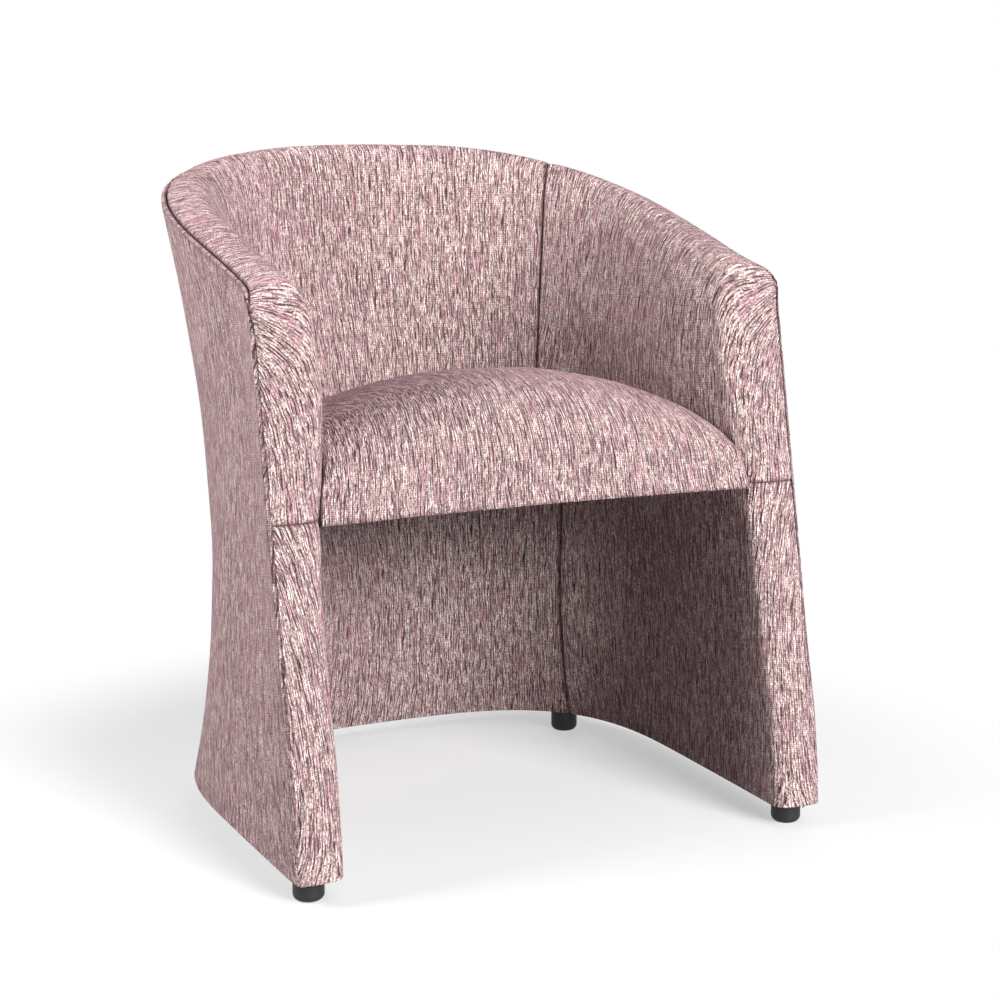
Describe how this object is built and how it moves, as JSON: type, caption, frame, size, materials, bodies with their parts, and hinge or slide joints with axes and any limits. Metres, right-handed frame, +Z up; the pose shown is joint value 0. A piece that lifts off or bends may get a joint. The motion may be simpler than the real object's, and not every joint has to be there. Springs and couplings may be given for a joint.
{
  "type": "tub chair",
  "caption": "Upholstered tub chair: one curved, waisted wall runs from arm to arm round a domed fixed seat, open below, on short round feet.",
  "frame": {"origin": "on the floor, under the middle of the chair's bounding box", "axes": "+Z up, -Y to the front where the sitter faces, +X to the viewer's right seen from the front"},
  "size_m": [0.606, 0.636, 0.7224],
  "materials": {
    "upholstery_fabric": "slubby woven upholstery fabric, mauve pink with cream and plum streaks",
    "black_lining_cloth": "black non-woven lining cloth",
    "foam": null,
    "wadding": "white polyester wadding",
    "fibreboard": "thin brown hardboard",
    "softwood": "planed softwood",
    "plywood": "birch plywood, sawn edges",
    "webbing": "black elastic webbing",
    "black_plastic": "matt black injection-moulded plastic",
    "screw_steel": "zinc-plated steel"
  },
  "bodies": {
    "root": {"arm_foam_left": "foam", "arm_foam_right": "foam", "back_foam": "foam", "base_ring": "plywood", "deck_screws": "screw_steel", "foot_front_left": "black_plastic", "foot_front_right": "black_plastic", "foot_rear_left": "black_plastic", "foot_rear_right": "black_plastic", "foot_screws": "screw_steel", "inner_lower_board": "fibreboard", "inner_upper_board": "fibreboard", "inside_arm_cover_left": "upholstery_fabric", "inside_arm_cover_right": "upholstery_fabric", "inside_back_cover": "upholstery_fabric", "lining_back_cover": "upholstery_fabric", "lining_back_foam": "foam", "lining_side_cover_left": "upholstery_fabric", "lining_side_cover_right": "upholstery_fabric", "lining_side_foam_left": "foam", "lining_side_foam_right": "foam", "lower_back_post": "softwood", "lower_front_post_left": "softwood", "lower_front_post_right": "softwood", "lower_rear_post_left": "softwood", "lower_rear_post_right": "softwood", "lower_side_post_left": "softwood", "lower_side_post_right": "softwood", "outer_back_board": "fibreboard", "outer_side_board_left": "fibreboard", "outer_side_board_right": "fibreboard", "outer_wadding": "wadding", "outside_arm_cover_left": "upholstery_fabric", "outside_arm_cover_right": "upholstery_fabric", "outside_back_cover": "upholstery_fabric", "seat_board": "plywood", "seat_cover": "upholstery_fabric", "seat_foam": "foam", "seat_front_rail": "softwood", "seat_lining_cloth": "black_lining_cloth", "seat_straps_cross": "webbing", "seat_straps_long": "webbing", "top_rail": "softwood", "underside_cloth": "black_lining_cloth", "upper_back_post": "softwood", "upper_front_post_left": "softwood", "upper_front_post_right": "softwood", "upper_rear_post_left": "softwood", "upper_rear_post_right": "softwood", "upper_side_post_left": "softwood", "upper_side_post_right": "softwood", "waist_rail": "softwood"}
  },
  "joints": []
}
